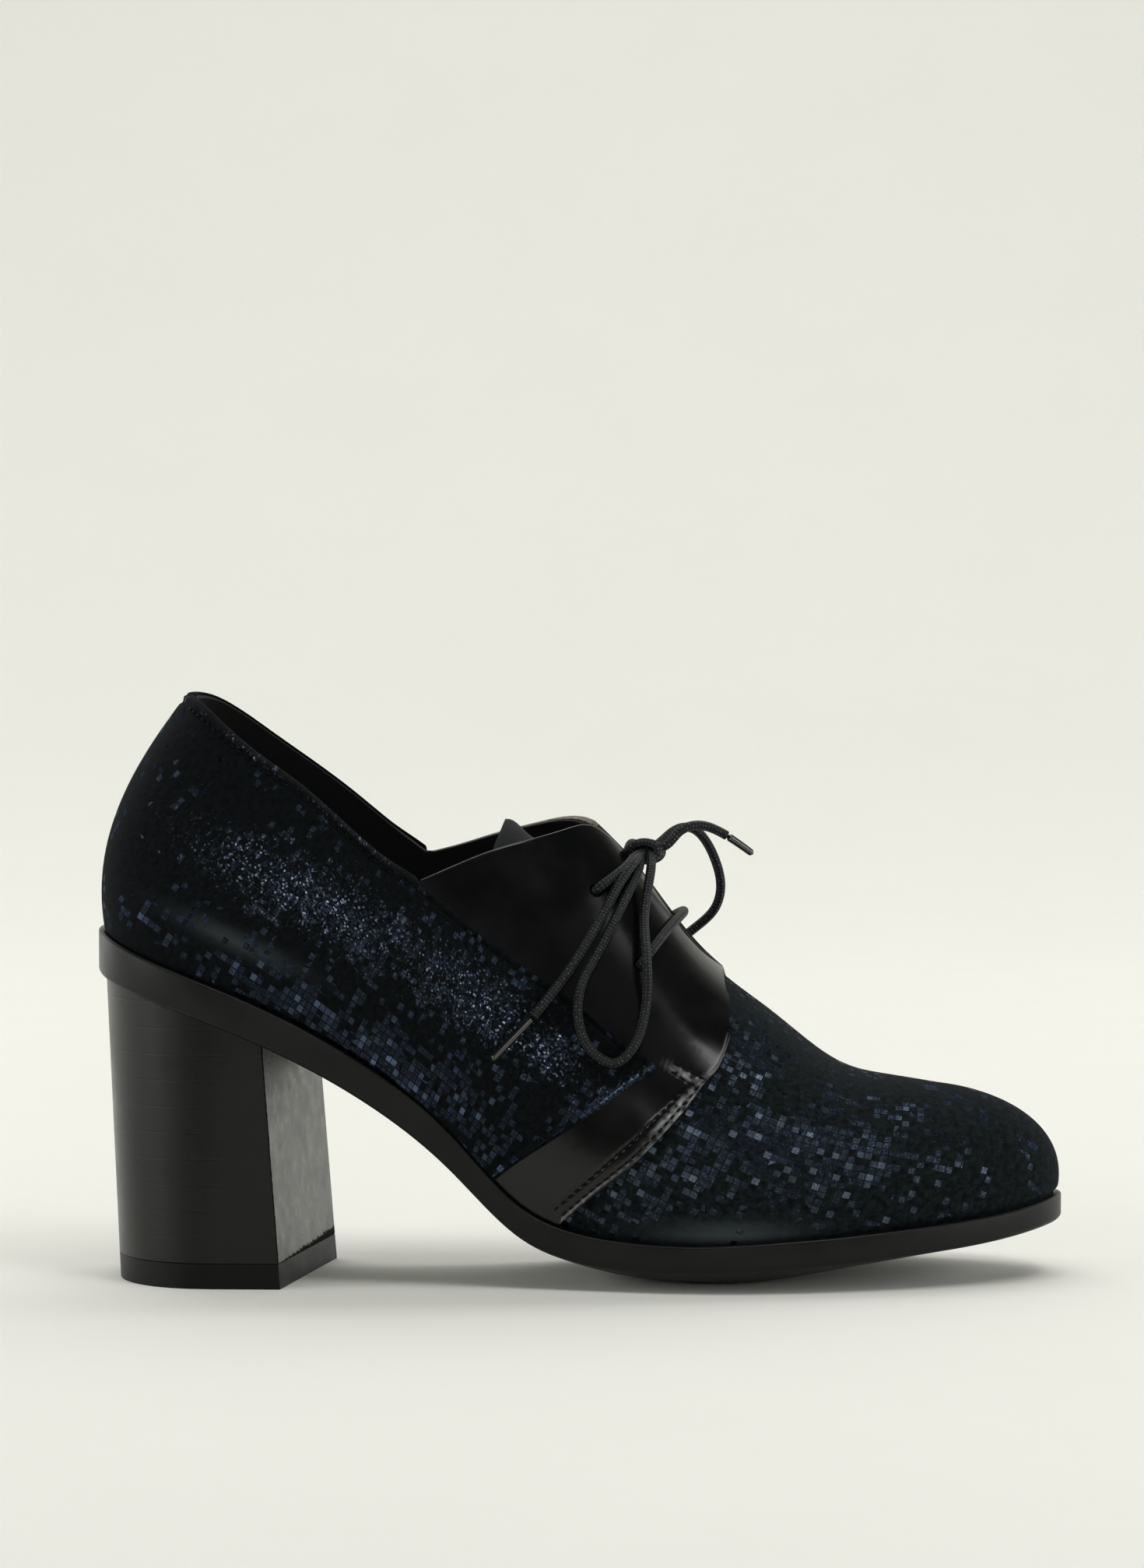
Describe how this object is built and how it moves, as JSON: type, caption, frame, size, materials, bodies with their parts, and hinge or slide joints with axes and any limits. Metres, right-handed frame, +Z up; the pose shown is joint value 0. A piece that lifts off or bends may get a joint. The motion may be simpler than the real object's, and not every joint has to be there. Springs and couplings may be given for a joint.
{
  "type": "heeled derby shoe",
  "caption": "Heeled derby shoe with a hollow lasted upper, open collar, laced facings and a high block heel, standing on heel and forefoot.",
  "frame": {"origin": "on the floor, under the middle of the sole's length and width", "axes": "+X to the toe, +Y to the inner (medial) side, +Z up"},
  "size_m": [0.2328, 0.0785, 0.1408],
  "materials": {
    "black_rubber": "semi-matt",
    "stacked_heel": "satin, scuffed breast",
    "foil_suede": "suede with small foil squares",
    "polished_leather": "polished",
    "dark_lining": "matt",
    "waxed_lace": "waxed"
  },
  "bodies": {
    "root": {"outsole": "black_rubber", "heel_block": "stacked_heel", "top_piece": "black_rubber", "insole": "dark_lining", "upper": "foil_suede", "tongue": "dark_lining", "facing_lateral": "polished_leather", "facing_medial": "polished_leather", "quarter_lateral": "foil_suede", "quarter_medial": "foil_suede", "lace_lower_bar": "waxed_lace", "lace_upper_bar_lateral": "waxed_lace", "lace_upper_bar_medial": "waxed_lace", "lace_knot": "waxed_lace", "lace_loop_lateral": "waxed_lace", "lace_loop_medial": "waxed_lace", "lace_end_lateral": "waxed_lace", "lace_end_medial": "waxed_lace", "aglet_lateral": "polished_leather", "aglet_medial": "polished_leather"}
  },
  "joints": []
}
